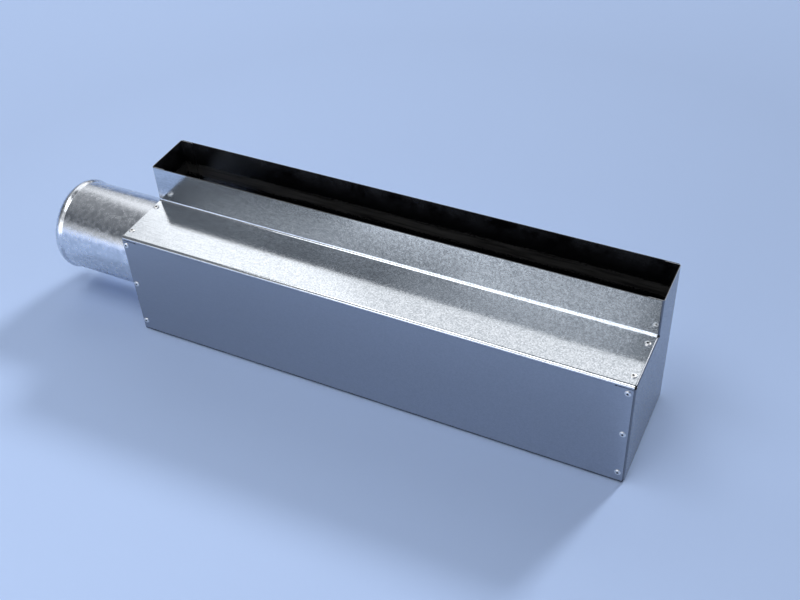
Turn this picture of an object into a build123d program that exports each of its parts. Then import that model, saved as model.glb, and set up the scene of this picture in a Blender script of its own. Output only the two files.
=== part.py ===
from build123d import *
from math import atan2, degrees
import os

# Air plenum box for a slot diffuser: one folded sheet of galvanised steel with a full-length
# slot neck along its back, closed by two riveted end caps, with a round duct spigot on one end.
# X runs along the box, the ledge side faces -Y, Z is up.
# The origin is the middle of the underside of the box, without the spigot. Sizes are in mm.

# Box
box_length = 550.0
box_depth = 126.0
box_height = 130.0
neck_depth = 56.0
neck_height = 42.0
sheet = 0.8
bend_radius = 2.4

# Slits that free the ends of the front and ledge fold
slit_length = 18.0
slit_width = 0.8
slit_below_fold = 0.6
slit_relief_diameter = 2.0

# End caps
cap_flange = 15.0
cap_bend_radius = 1.0
cap_fit = 0.1
corner_gap = 0.6

# Duct spigot
spigot_diameter = 99.0
spigot_length = 112.0
spigot_wall = 0.6
spigot_below_ledge = 9.5
spigot_offset = 0.0
spigot_flange = 5.0
spigot_seat_fit = 0.1
spigot_hole_fit = 0.2
bead_width = 8.0
bead_land = 3.0
bead_rise = 1.5

# Blind rivets, turned pieces drawn with flat sides
rivet_sides = 10
rivet_shank = 3.2
rivet_hole_fit = 0.1
rivet_head = 6.4
rivet_head_rise = 1.1
rivet_rim = 0.4
rivet_crown = 3.4
rivet_tail = 4.6
rivet_tail_length = 2.6
blank_rivet_inset = 6.8
spigot_rivet_inset = 5.6
front_rivet_count = 3
front_rivet_low = 14.0
front_rivet_below_ledge = 10.0
ledge_rivet_count = 2
ledge_rivet_margin = 13.0

# Faces of the box that follow from the driving sizes
front_face = -box_depth / 2
back_face = box_depth / 2
neck_face = back_face - neck_depth
top_edge = box_height + neck_height
fold_radius = bend_radius + sheet
cap_fold_radius = cap_bend_radius + sheet
end_face = box_length / 2
sheet_end = end_face - cap_fold_radius
spigot_radius = spigot_diameter / 2
spigot_height = box_height - spigot_below_ledge - spigot_radius


def yz_point(y, z):
    """A point of the box's cross-section, in the plane across its length."""
    return Vector(0, y, z)


def evenly(low, high, count):
    """Positions spaced evenly from low to high."""
    step = (high - low) / (count - 1)
    return [low + step * i for i in range(count)]


def rivet_seats(side, inset):
    """Where one end's rivets sit: points on the outside of the sheet and the way out of it."""
    x = side * (end_face - inset)
    rows = evenly(front_rivet_low, box_height - front_rivet_below_ledge, front_rivet_count)
    columns = evenly(front_face + ledge_rivet_margin, neck_face - ledge_rivet_margin, ledge_rivet_count)
    front = [(Vector(x, front_face, z), Vector(0, -1, 0)) for z in rows]
    back = [(Vector(x, back_face, z), Vector(0, 1, 0)) for z in rows]
    ledge = [(Vector(x, y, box_height), Vector(0, 0, 1)) for y in columns]
    return front + back + ledge


def rivet_holes(seats):
    """Drilled holes through the sheet and the flange behind it."""
    reach = 2 * (2 * sheet + cap_fit)
    radius = (rivet_shank + rivet_hole_fit) / 2
    drills = []
    for point, out in seats:
        drills.append(Plane(point, z_dir=out) * Cylinder(radius, 2 * reach))
    return drills


def folded_sheet():
    """The body: neck wall, ledge, front, underside and back, folded from one sheet."""
    outside = [
        yz_point(neck_face, top_edge),
        yz_point(neck_face, box_height),
        yz_point(front_face, box_height),
        yz_point(front_face, 0),
        yz_point(back_face, 0),
        yz_point(back_face, top_edge),
    ]
    inside = [
        yz_point(neck_face + sheet, top_edge),
        yz_point(neck_face + sheet, box_height - sheet),
        yz_point(front_face + sheet, box_height - sheet),
        yz_point(front_face + sheet, sheet),
        yz_point(back_face - sheet, sheet),
        yz_point(back_face - sheet, top_edge),
    ]
    outer_line = FilletPolyline(*outside, radius=[bend_radius] + [fold_radius] * 3)
    inner_line = FilletPolyline(*inside, radius=[fold_radius] + [bend_radius] * 3)
    front_cut = Line(outside[0], inside[0])
    back_cut = Line(outside[-1], inside[-1])
    section = make_face(outer_line.edges() + inner_line.edges() + [front_cut, back_cut])
    return extrude(section, amount=sheet_end, dir=(1, 0, 0), both=True)


def fold_slits():
    """Cuts in the front wall just under the ledge fold, each ending in a round relief hole."""
    z = box_height - fold_radius - slit_below_fold
    tools = []
    for side in (-1, 1):
        tip = side * (end_face - slit_length)
        middle = side * (end_face - slit_length / 2)
        tools.append(Pos(middle, front_face, z) * Box(slit_length, 4 * sheet, slit_width))
        drill = Plane((tip, front_face, z), z_dir=(0, -1, 0))
        tools.append(drill * Cylinder(slit_relief_diameter / 2, 4 * sheet))
    return tools


def cap_flange_strip(start, end, inward):
    """One folded flange of an end cap at +X, along the edge from start to end.

    start, end: points of the flange's outside face line, in the cross-section.
    inward: unit vector in the cross-section that points into the box.
    """
    along = Vector(1, 0, 0)
    swing = cap_fold_radius
    inner_swing = cap_bend_radius
    diagonal = 0.5**0.5

    def at(depth, x):
        return start + inward * depth + along * x

    fold_x = end_face - swing
    outer_mid = at(swing - swing * diagonal, fold_x + swing * diagonal)
    inner_mid = at(swing - inner_swing * diagonal, fold_x + inner_swing * diagonal)
    rim_x = end_face - cap_flange
    edges = [
        ThreePointArc(at(swing, end_face), outer_mid, at(0, fold_x)),
        Line(at(0, fold_x), at(0, rim_x)),
        Line(at(0, rim_x), at(sheet, rim_x)),
        Line(at(sheet, rim_x), at(sheet, fold_x)),
        ThreePointArc(at(sheet, fold_x), inner_mid, at(swing, end_face - sheet)),
        Line(at(swing, end_face - sheet), at(swing, end_face)),
    ]
    run = end - start
    return extrude(make_face(edges), amount=run.length, dir=run.normalized())


def end_cap():
    """A stepped end plate at +X with flanges folded into the box; its top edge is a plain cut."""
    back = back_face - sheet - cap_fit
    front = front_face + sheet + cap_fit
    low = sheet + cap_fit
    ledge = box_height - sheet - cap_fit
    neck = neck_face + sheet + cap_fit
    inset = cap_fold_radius
    corner = max(cap_fold_radius, bend_radius) + corner_gap
    outline = [
        yz_point(front + inset, low + inset),
        yz_point(back - inset, low + inset),
        yz_point(back - inset, top_edge),
        yz_point(neck + inset, top_edge),
        yz_point(neck + inset, ledge - inset),
        yz_point(front + inset, ledge - inset),
    ]
    plate_face = make_face(Polyline(*outline, close=True))
    plate = Pos(end_face - sheet, 0, 0) * extrude(plate_face, amount=sheet, dir=(1, 0, 0))
    strips = [
        cap_flange_strip(yz_point(front + corner, low), yz_point(back - corner, low), Vector(0, 0, 1)),
        cap_flange_strip(yz_point(back, low + corner), yz_point(back, top_edge), Vector(0, -1, 0)),
        cap_flange_strip(yz_point(front, low + corner), yz_point(front, ledge - corner), Vector(0, 1, 0)),
        cap_flange_strip(
            yz_point(front + corner, ledge), yz_point(neck - corner_gap, ledge), Vector(0, 0, -1)
        ),
        cap_flange_strip(yz_point(neck, ledge + corner_gap), yz_point(neck, top_edge), Vector(0, 1, 0)),
    ]
    return plate.fuse(*strips).clean()


def spigot_point(x, radius):
    """A point of the spigot's half section: x along the box, radius out from the spigot's axis."""
    return Vector(x, spigot_offset, spigot_height + radius)


def bead_line(mouth, radius):
    """The bead's line, from the wall up a round shoulder to a level land, and down to the mouth.

    mouth: x of the spigot's open end. radius: the face of the wall that the bead is swaged from.
    """
    ramp = (bead_width - bead_land) / 2
    crown = radius + bead_rise
    foot = spigot_point(mouth + bead_width, radius)
    land_start = spigot_point(mouth + bead_width - ramp, crown)
    land_end = spigot_point(mouth + ramp, crown)
    lip = spigot_point(mouth, radius)
    return [
        TangentArc(land_start, foot, tangent=(1, 0, 0)),
        Line(land_start, land_end),
        TangentArc(land_end, lip, tangent=(-1, 0, 0)),
    ]


def duct_spigot():
    """A rolled collar with a flange inside the end cap and a swaged bead round its open end."""
    outer = spigot_radius
    inner = spigot_radius - spigot_wall
    rim = outer + spigot_flange
    seat = -end_face + sheet + spigot_seat_fit
    flange_back = seat + spigot_wall
    mouth = -end_face - spigot_length
    bead_foot = mouth + bead_width
    walls = [
        Line(spigot_point(seat, rim), spigot_point(seat, outer)),
        Line(spigot_point(seat, outer), spigot_point(bead_foot, outer)),
        Line(spigot_point(mouth, outer), spigot_point(mouth, inner)),
        Line(spigot_point(bead_foot, inner), spigot_point(flange_back, inner)),
        Line(spigot_point(flange_back, inner), spigot_point(flange_back, rim)),
        Line(spigot_point(flange_back, rim), spigot_point(seat, rim)),
    ]
    section = make_face(walls + bead_line(mouth, outer) + bead_line(mouth, inner))
    return revolve(section, Axis((0, spigot_offset, spigot_height), (1, 0, 0)))


def spigot_hole():
    """The round hole of the spigot's end cap."""
    across = Plane((-end_face, spigot_offset, spigot_height), z_dir=(1, 0, 0))
    return across * Cylinder(spigot_radius + spigot_hole_fit, cap_flange)


def turned(diameter, low, high, slope=0):
    """A turned length from low to high, drawn with flat sides that lean in by slope degrees."""
    return Pos(0, 0, low) * extrude(RegularPolygon(diameter / 2, rivet_sides), high - low, taper=slope)


def blind_rivet():
    """A set blind rivet: domed head on z = 0, shank through both sheets, and swollen tail."""
    grip = -2 * sheet - cap_fit
    dome_slope = degrees(atan2((rivet_head - rivet_crown) / 2, rivet_head_rise - rivet_rim))
    rim = turned(rivet_head, 0, rivet_rim)
    dome = turned(rivet_head, rivet_rim, rivet_head_rise, dome_slope)
    shank = turned(rivet_shank, grip, 0)
    tail = turned(rivet_tail, grip - rivet_tail_length, grip)
    return rim + dome + shank + tail


def rivet_set(seats):
    """One end's rivets, set in their holes."""
    rivet = blind_rivet()
    return Compound(children=[Plane(point, z_dir=out) * rivet for point, out in seats])


blank_seats = rivet_seats(1, blank_rivet_inset)
spigot_seats = rivet_seats(-1, spigot_rivet_inset)
blank_cap = end_cap()
parts = {
    "body_shell": folded_sheet() - rivet_holes(blank_seats + spigot_seats) - fold_slits(),
    "blank_end_cap": blank_cap - rivet_holes(blank_seats),
    "spigot_end_cap": mirror(blank_cap, Plane.YZ) - rivet_holes(spigot_seats) - spigot_hole(),
    "duct_spigot": duct_spigot(),
    "blank_end_rivets": rivet_set(blank_seats),
    "spigot_end_rivets": rivet_set(spigot_seats),
}

os.makedirs("parts", exist_ok=True)
for name, shape in parts.items():
    export_step(shape, f"parts/{name}.step")
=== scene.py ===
"""Looks of a folded sheet-steel air plenum box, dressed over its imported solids.

Every piece is a surface worked out with numpy, and takes the place of the solid that it is named for.
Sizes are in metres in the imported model's frame: X along the box, -Y out of the ledge side, Z up.
"""

import logging
from dataclasses import dataclass, field
from enum import Enum

import bpy
import numpy as np
from mathutils import Matrix, Vector


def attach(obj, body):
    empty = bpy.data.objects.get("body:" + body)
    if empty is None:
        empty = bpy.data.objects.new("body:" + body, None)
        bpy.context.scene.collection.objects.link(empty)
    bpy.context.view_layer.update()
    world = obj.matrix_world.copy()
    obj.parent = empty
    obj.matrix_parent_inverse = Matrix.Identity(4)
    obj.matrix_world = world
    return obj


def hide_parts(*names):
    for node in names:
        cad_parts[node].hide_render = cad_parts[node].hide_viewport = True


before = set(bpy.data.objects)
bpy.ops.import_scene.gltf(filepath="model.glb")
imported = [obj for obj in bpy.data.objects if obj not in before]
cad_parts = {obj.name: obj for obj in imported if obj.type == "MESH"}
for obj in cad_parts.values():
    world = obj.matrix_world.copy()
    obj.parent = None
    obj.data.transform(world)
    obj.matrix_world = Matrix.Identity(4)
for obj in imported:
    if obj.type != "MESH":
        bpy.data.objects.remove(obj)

log = logging.getLogger("plenum_box")

MM = 0.001
BODY = "root"
INSIDE_MARK = "inside"
SHARP_ANGLE = np.radians(32.0)
WELD_STEP = 1e-7
ARC_STEPS = 10
NOISE_MIDDLE = 0.5

Socket = bpy.types.NodeSocket
Setting = float | tuple[float, ...] | Socket
Colour = tuple[float, float, float, float]
Span = tuple[float, float]
Stretch = tuple[float, float, float]


class Slot(Enum):
    """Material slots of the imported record."""

    SHEET = "galvanised_sheet"
    SPIGOT = "galvanised_spigot"
    RIVET = "rivet_metal"


class End(Enum):
    """The two ends of the box, by the sign of X."""

    BLANK = 1
    SPIGOT = -1


@dataclass
class Surface:
    """Points and faces of one piece, gathered before they become a mesh.

    A point's inside mark is 0 on the outside of the sheet and 1 on the side that faces into the box.
    """

    points: list[np.ndarray] = field(default_factory=list)
    marks: list[np.ndarray] = field(default_factory=list)
    faces: list[list[int]] = field(default_factory=list)
    smooth: list[bool] = field(default_factory=list)
    count: int = 0

    def add_points(self, points: np.ndarray, marks: np.ndarray) -> np.ndarray:
        """Adds an array of points.

        Args:
            points: Positions, with the three coordinates on the last axis.
            marks: Inside marks, one for each point or broadcast to them.

        Returns:
            The points' numbers, in the array's own shape.
        """
        shape = points.shape[:-1]
        numbers = self.count + np.arange(int(np.prod(shape))).reshape(shape)
        self.points.append(points.reshape(-1, 3))
        self.marks.append(np.broadcast_to(marks, shape).reshape(-1))
        self.count += numbers.size
        return numbers

    def add_faces(self, corners: np.ndarray, smooth: bool = True) -> None:
        """Adds faces with equal numbers of corners.

        Args:
            corners: Point numbers, one face to a row after the leading axes are flattened.
            smooth: Whether the faces are shaded as one curved surface.
        """
        rows = corners.reshape(-1, corners.shape[-1])
        self.faces.extend(rows.tolist())
        self.smooth.extend([smooth] * len(rows))

    def mesh(self, name: str) -> bpy.types.Mesh:
        """Welds points that share a place, and turns the surface into a mesh facing outwards.

        Args:
            name: Name of the new mesh.

        Returns:
            The mesh, with its inside mark as a point attribute.
        """
        points = np.concatenate(self.points)
        keys = np.round(points / WELD_STEP).astype(np.int64)
        _, first, number = np.unique(keys, axis=0, return_index=True, return_inverse=True)
        number = number.reshape(-1)
        mesh = bpy.data.meshes.new(name)
        mesh.from_pydata(points[first].tolist(), [], [number[face].tolist() for face in self.faces])
        mesh.polygons.foreach_set("use_smooth", self.smooth)
        mark = mesh.attributes.new(INSIDE_MARK, "FLOAT", "POINT")
        mark.data.foreach_set("value", np.concatenate(self.marks)[first].astype(np.float32))
        mesh.set_sharp_from_angle(angle=SHARP_ANGLE)
        mesh.validate()
        return mesh


def grid_faces(numbers: np.ndarray, close_rows: bool = False, close_columns: bool = False) -> np.ndarray:
    """Quads between neighbours of a grid of points.

    Args:
        numbers: Point numbers on a grid of rows and columns.
        close_rows: Whether the last row joins the first.
        close_columns: Whether the last column joins the first.

    Returns:
        Corner numbers, four to a quad, on a grid of quads.
    """
    if close_rows:
        numbers = np.concatenate([numbers, numbers[:1]], axis=0)
    if close_columns:
        numbers = np.concatenate([numbers, numbers[:, :1]], axis=1)
    return np.stack([numbers[:-1, :-1], numbers[:-1, 1:], numbers[1:, 1:], numbers[1:, :-1]], axis=-1)


@dataclass
class SheetLine:
    """The middle line of a bent sheet's section, with the sheet's faces to its right and left."""

    points: np.ndarray
    ways: np.ndarray

    @classmethod
    def through(cls, corners: np.ndarray, radii: np.ndarray, shoulder: float = 0.0) -> "SheetLine":
        """A line through corners, each inner one rounded by an arc that touches both legs.

        The arc starts radius * tan(turn / 2) before its corner. Each of its points is the arm from
        the arc's centre to its start, swung by a share of the turn. With a shoulder there is one
        more point that far before and after each arc, so that the legs shade flat.

        Args:
            corners: Corner points, two coordinates each.
            radii: Radius of the arc at each inner corner.
            shoulder: Distance of the added points from the arcs.

        Returns:
            The rounded line.
        """
        legs = np.diff(corners, axis=0)
        ways = legs / np.linalg.norm(legs, axis=1, keepdims=True)
        before, after = ways[:-1], ways[1:]
        cross = before[:, 0] * after[:, 1] - before[:, 1] * after[:, 0]
        turn = np.arctan2(cross, np.sum(before * after, axis=1))
        side = np.sign(turn)[:, None] * np.stack([-before[:, 1], before[:, 0]], axis=1)
        start = corners[1:-1] - before * (radii * np.tan(np.abs(turn) / 2))[:, None]
        centre = start + side * radii[:, None]
        swing = turn[:, None] * np.linspace(0, 1, ARC_STEPS + 1)
        arms = cls.swung(-side, swing) * radii[:, None, None]
        arcs = centre[:, None] + arms
        arc_ways = cls.swung(before, swing)
        if shoulder > 0:
            lead = arcs[:, :1] - before[:, None] * shoulder
            tail = arcs[:, -1:] + after[:, None] * shoulder
            arcs = np.concatenate([lead, arcs, tail], axis=1)
            arc_ways = np.concatenate([before[:, None], arc_ways, after[:, None]], axis=1)
        points = np.concatenate([corners[:1], arcs.reshape(-1, 2), corners[-1:]])
        all_ways = np.concatenate([ways[:1], arc_ways.reshape(-1, 2), ways[-1:]])
        return cls(points, all_ways)

    @staticmethod
    def swung(arms: np.ndarray, angles: np.ndarray) -> np.ndarray:
        """Arms turned by angles: cos * arm plus sin * the arm's left normal.

        Args:
            arms: Arms, one to a row.
            angles: The angles of each row's arm.

        Returns:
            The turned arms, by row and angle.
        """
        cos, sin = np.cos(angles), np.sin(angles)
        across, up = arms[:, :1], arms[:, 1:]
        return np.stack([cos * across - sin * up, sin * across + cos * up], axis=-1)

    def right(self, offset: float) -> np.ndarray:
        """The line moved to its right by an offset."""
        return self.points + offset * np.stack([self.ways[:, 1], -self.ways[:, 0]], axis=1)

    def loop(self, thickness: float) -> np.ndarray:
        """The section's outline: along the right face, and back along the left one."""
        return np.concatenate([self.right(thickness / 2), self.right(-thickness / 2)[::-1]])

    def marks(self) -> np.ndarray:
        """Inside marks of the outline's points: 0 on the right face and 1 on the left one."""
        return np.repeat([0.0, 1.0], len(self.points))

    def insert(self, index: int, points: np.ndarray) -> None:
        """Puts points of a straight leg into the line.

        Args:
            index: Number of the point that they come after.
            points: The points, in the line's order.
        """
        spot = np.full(len(points), index + 1)
        self.points = np.insert(self.points, spot, points, axis=0)
        ways = np.repeat(self.ways[index:index + 1], len(points), axis=0)
        self.ways = np.insert(self.ways, spot, ways, axis=0)


class NodeBench:
    """A node tree with one call that adds a node, sets it up and wires it in.

    Sockets that share a name on their node, as those of a mix do, go by number.
    """

    def __init__(self, tree: bpy.types.NodeTree) -> None:
        """Takes the tree that the nodes go into."""
        self.tree = tree

    def add(
        self,
        kind: str,
        sockets: dict[str | int, Setting] | None = None,
        **settings: str | bool | bpy.types.NodeTree,
    ) -> bpy.types.Node:
        """Adds a node.

        Args:
            kind: Type name of the node.
            sockets: Inputs by name or number, each a value or an output to link.
            settings: Properties of the node itself.

        Returns:
            The new node.
        """
        node = self.tree.nodes.new(kind)
        for name, value in settings.items():
            setattr(node, name, value)
        for name, value in (sockets or {}).items():
            if isinstance(value, Socket):
                self.tree.links.new(value, node.inputs[name])
            else:
                node.inputs[name].default_value = value
        return node

    def math(self, operation: str, first: Setting, second: Setting = 0.0) -> Socket:
        """The result of a sum on one or two values."""
        return self.add("ShaderNodeMath", {0: first, 1: second}, operation=operation).outputs[0]

    def axis(self, place: Socket, name: str) -> Socket:
        """One coordinate of a place: X, Y or Z."""
        return self.add("ShaderNodeSeparateXYZ", {0: place}).outputs[name]

    def inside_mark(self) -> Socket:
        """The inside mark of the surface."""
        return self.add("ShaderNodeAttribute", attribute_name=INSIDE_MARK).outputs["Fac"]

    def ranged(self, value: Socket, low: Setting, high: Setting, to_low: float, to_high: float) -> Socket:
        """A value brought from one range to another, held at its ends."""
        sockets = {"Value": value, "From Min": low, "From Max": high, "To Min": to_low, "To Max": to_high}
        return self.add("ShaderNodeMapRange", sockets, clamp=True).outputs["Result"]

    def blend(self, share: Setting, first: Setting, second: Setting) -> Socket:
        """A colour between two colours."""
        node = self.add("ShaderNodeMix", {0: share, 6: first, 7: second}, data_type="RGBA")
        return node.outputs[2]

    def blend_value(self, share: Setting, first: Setting, second: Setting) -> Socket:
        """A number between two numbers."""
        node = self.add("ShaderNodeMix", {0: share, 2: first, 3: second}, data_type="FLOAT")
        return node.outputs[0]

    def noise(self, vector: Socket, feature: float, detail: float = 2.0, rough: float = 0.5) -> Socket:
        """Soft noise with features of a size in metres."""
        sockets = {"Vector": vector, "Scale": 1 / feature, "Detail": detail, "Roughness": rough}
        return self.add("ShaderNodeTexNoise", sockets).outputs["Fac"]

    def streaks(self, place: Socket, stretch: Stretch, feature: float, detail: float) -> Socket:
        """Rough noise, drawn out along each axis whose stretch is under one."""
        drawn = self.add("ShaderNodeVectorMath", {0: place, 1: stretch}, operation="MULTIPLY").outputs[0]
        return self.noise(drawn, feature, detail, rough=0.6)


class SocketKind(Enum):
    """Kinds of socket that an effect takes in."""

    VALUE = "NodeSocketFloat"
    VECTOR = "NodeSocketVector"


class Effect:
    """An effect that several finishes share, as a shader node group that is built once."""

    name: str
    inputs: dict[str, SocketKind]
    outputs: tuple[str, ...]

    def fill(self, bench: NodeBench, given: bpy.types.NodeOutputs) -> dict[str, Socket]:
        """Lays out the group's nodes.

        Args:
            bench: The group's nodes.
            given: The group's inputs.

        Returns:
            What the group puts out, by name.
        """
        raise NotImplementedError

    def tree(self) -> bpy.types.NodeTree:
        """Builds the group once.

        Returns:
            The group's node tree.
        """
        known = bpy.data.node_groups.get(self.name)
        if known is not None:
            return known
        tree = bpy.data.node_groups.new(self.name, "ShaderNodeTree")
        for name, kind in self.inputs.items():
            tree.interface.new_socket(name, in_out="INPUT", socket_type=kind.value)
        for name in self.outputs:
            tree.interface.new_socket(name, in_out="OUTPUT", socket_type=SocketKind.VALUE.value)
        bench = NodeBench(tree)
        bench.add("NodeGroupOutput", self.fill(bench, bench.add("NodeGroupInput").outputs))
        return tree

    def place(self, bench: NodeBench, sockets: dict[str, Setting]) -> bpy.types.NodeOutputs:
        """Places the group in a material.

        Args:
            bench: The material's nodes.
            sockets: The group's inputs by name.

        Returns:
            The group's outputs.
        """
        return bench.add("ShaderNodeGroup", sockets, node_tree=self.tree()).outputs


class Spangle(Effect):
    """Zinc spangle, the crystal pattern of galvanised sheet.

    Blotches are soft noise as wide as a crystal, over a grain of small Voronoi cells that the same
    noise bends a little. Tone runs over both, and Cloud is a slow noise. Streak is noise drawn out along
    X, as rolling leaves it. Height is noise too, whose slopes tilt the surface by a few degrees.
    """

    name = "zinc_spangle"
    inputs = {
        "Vector": SocketKind.VECTOR,
        "Crystal Scale": SocketKind.VALUE,
        "Grain Scale": SocketKind.VALUE,
        "Crystal Share": SocketKind.VALUE,
    }
    outputs = ("Tone", "Cloud", "Streak", "Height")
    bend = 2.0 * MM
    cloud_size = 70.0 * MM
    crystal_span = (0.34, 0.66)
    streak_size = 1.8 * MM
    streak_stretch = (0.12, 1.0, 1.0)
    streak_span = (0.32, 0.68)

    def fill(self, bench: NodeBench, given: bpy.types.NodeOutputs) -> dict[str, Socket]:
        """Lays out the noises and the cells.

        Args:
            bench: The group's nodes.
            given: The group's inputs.

        Returns:
            What the group puts out, by name.
        """
        place, share = given["Vector"], given["Crystal Share"]
        wander_sockets = {"Vector": place, "Scale": given["Crystal Scale"]}
        wander = bench.add("ShaderNodeTexNoise", wander_sockets).outputs
        sway = {0: wander["Color"], "Scale": self.bend}
        drift = bench.add("ShaderNodeVectorMath", sway, operation="SCALE").outputs[0]
        bent = bench.add("ShaderNodeVectorMath", {0: place, 1: drift}, operation="ADD").outputs[0]
        cells = bench.add("ShaderNodeTexVoronoi", {"Vector": bent, "Scale": given["Grain Scale"]})
        cell_tone = bench.add("ShaderNodeSeparateColor", {0: cells.outputs["Color"]}).outputs[0]
        fine_sockets = {"Vector": place, "Scale": given["Grain Scale"], "Detail": 1.0}
        fine = bench.add("ShaderNodeTexNoise", fine_sockets).outputs["Fac"]
        crystal_tone = bench.ranged(wander["Fac"], *self.crystal_span, 0.0, 1.0)
        streaks = bench.streaks(place, self.streak_stretch, self.streak_size, detail=2.0)
        return {
            "Tone": bench.blend_value(share, cell_tone, crystal_tone),
            "Cloud": bench.noise(place, self.cloud_size, detail=3.0),
            "Streak": bench.ranged(streaks, *self.streak_span, 0.0, 1.0),
            "Height": bench.blend_value(share, fine, wander["Fac"]),
        }


class BlackSpray(Effect):
    """Black paint sprayed into the box through its neck.

    The level is the height moved by fine noise. The paint's mask is the inside mark, times the level's
    share of the way from the low edge to the full edge. Dry is streaked overspray: it is whole within
    the dry core of the dry middle, and gone at the dry reach. Reflection is soft patches that grow in
    upwards: the mask of a painted reflection of the blue surroundings in the gloss paint.
    """

    name = "black_spray"
    inputs = {
        "Vector": SocketKind.VECTOR,
        "Inside": SocketKind.VALUE,
        "Low Edge": SocketKind.VALUE,
        "Full Edge": SocketKind.VALUE,
        "Dry Middle": SocketKind.VALUE,
        "Dry Core": SocketKind.VALUE,
        "Dry Reach": SocketKind.VALUE,
        "Reflection Low": SocketKind.VALUE,
        "Reflection High": SocketKind.VALUE,
    }
    outputs = ("Mask", "Dry", "Scuff")
    speckle_size = 1.6 * MM
    speckle_reach = 12.0 * MM
    inside_span = (0.5, 0.7)
    streak_size = 1.8 * MM
    streak_stretch = (0.05, 1.0, 1.0)
    streak_span = (0.36, 0.62)
    streak_least = 0.15
    patch_size = 18.0 * MM
    patch_span = (0.38, 0.64)

    def fill(self, bench: NodeBench, given: bpy.types.NodeOutputs) -> dict[str, Socket]:
        """Lays out the level, the streaks and the patches.

        Args:
            bench: The group's nodes.
            given: The group's inputs.

        Returns:
            What the group puts out, by name.
        """
        place = given["Vector"]
        fine = bench.noise(place, self.speckle_size, detail=2.0, rough=0.7)
        speckle = bench.math("MULTIPLY", bench.math("SUBTRACT", fine, NOISE_MIDDLE), self.speckle_reach)
        level = bench.math("ADD", bench.axis(place, "Z"), speckle)
        depth = bench.ranged(level, given["Low Edge"], given["Full Edge"], 0.0, 1.0)
        inside = bench.ranged(given["Inside"], *self.inside_span, 0.0, 1.0)
        off = bench.math("ABSOLUTE", bench.math("SUBTRACT", level, given["Dry Middle"]))
        band = bench.ranged(off, given["Dry Core"], given["Dry Reach"], 1.0, 0.0)
        drawn = bench.streaks(place, self.streak_stretch, self.streak_size, detail=3.0)
        streaks = bench.ranged(drawn, *self.streak_span, self.streak_least, 1.0)
        # Painted reflection: soft patches that grow in towards the top.
        rising = bench.ranged(level, given["Reflection Low"], given["Reflection High"], 0.0, 1.0)
        soft = bench.noise(place, self.patch_size, detail=5.0, rough=0.6)
        patches = bench.ranged(soft, *self.patch_span, 0.0, 1.0)
        return {
            "Mask": bench.math("MULTIPLY", inside, depth),
            "Dry": bench.math("MULTIPLY", band, streaks),
            "Scuff": bench.math("MULTIPLY", rising, patches),
        }


class FootShade(Effect):
    """Painted shade along the foot of the box, where it meets the floor: whole below a low height and
    gone at a high one.

    The height is moved by noise, which makes the shade's edge ragged.
    """

    name = "painted_foot_shade"
    inputs = {"Vector": SocketKind.VECTOR, "Low": SocketKind.VALUE, "High": SocketKind.VALUE}
    outputs = ("Mask",)
    ragged_size = 5.0 * MM
    ragged_reach = 1.2 * MM

    def fill(self, bench: NodeBench, given: bpy.types.NodeOutputs) -> dict[str, Socket]:
        """Lays out the height and the noise that moves it.

        Args:
            bench: The group's nodes.
            given: The group's inputs.

        Returns:
            What the group puts out, by name.
        """
        place = given["Vector"]
        ragged = bench.math("SUBTRACT", bench.noise(place, self.ragged_size, detail=3.0), NOISE_MIDDLE)
        moved = bench.math("MULTIPLY", ragged, self.ragged_reach)
        level = bench.math("ADD", bench.axis(place, "Z"), moved)
        # Mask of the painted shade along the foot.
        return {"Mask": bench.ranged(level, given["Low"], given["High"], 1.0, 0.0)}


@dataclass
class Coat:
    """What a finish has laid down so far, as the outputs that will feed its shader."""

    bench: NodeBench
    place: Socket
    colour: Socket
    roughness: Socket
    height: Socket
    metallic: Socket | None = None

    def axis(self, name: str) -> Socket:
        """One coordinate of the place on the piece: X, Y or Z."""
        return self.bench.axis(self.place, name)

    def cover(self, mask: Socket, colour: Setting, roughness: Setting) -> None:
        """Covers what is there with a colour and a roughness, as far as a mask says."""
        self.colour = self.bench.blend(mask, self.colour, colour)
        self.roughness = self.bench.blend_value(mask, self.roughness, roughness)

    def wire(self, shader: bpy.types.Node) -> None:
        """Feeds the shader, whose metal is whole unless a layer has covered it.

        Args:
            shader: The material's shader node.
        """
        links = self.bench.tree.links
        bump = self.bench.add("ShaderNodeBump", {"Distance": 1.0, "Height": self.height})
        links.new(self.colour, shader.inputs["Base Color"])
        links.new(self.roughness, shader.inputs["Roughness"])
        links.new(bump.outputs["Normal"], shader.inputs["Normal"])
        shader.inputs["Metallic"].default_value = 1.0
        if self.metallic is not None:
            links.new(self.metallic, shader.inputs["Metallic"])


class Layer:
    """Something that lies over the metal of a finish."""

    def lay(self, coat: Coat) -> None:
        """Lays it over a coat."""
        raise NotImplementedError


@dataclass(frozen=True)
class ShadedFront(Layer):
    """The front wall, rougher than the ledge behind it and darkened by painted shade: all that lies
    before a face, by Y.

    Its colour runs evenly from one at the left end to one at the right; this darker colour, darkest at
    the left, is painted shade for the shaded floor that the wall reflects.
    """

    # Painted shade: the front wall's colours, darker than the zinc and darkest at the left end.
    left: Colour = (0.305, 0.32, 0.357, 1.0)
    right: Colour = (0.40, 0.42, 0.468, 1.0)
    reach: float = 275.0 * MM
    share: float = 0.85
    roughness: float = 0.36
    face: float = -62.9 * MM
    fade: float = 0.6 * MM

    def lay(self, coat: Coat) -> None:
        """Paints shade onto the front wall, and dulls it.

        Args:
            coat: The coat that it goes over.
        """
        bench = coat.bench
        along = bench.ranged(coat.axis("X"), -self.reach, self.reach, 0.0, 1.0)
        mask = bench.ranged(coat.axis("Y"), self.face, self.face + self.fade, self.share, 0.0)
        # Painted shade over the front wall, with a higher roughness.
        coat.cover(mask, bench.blend(along, self.left, self.right), self.roughness)


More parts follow.
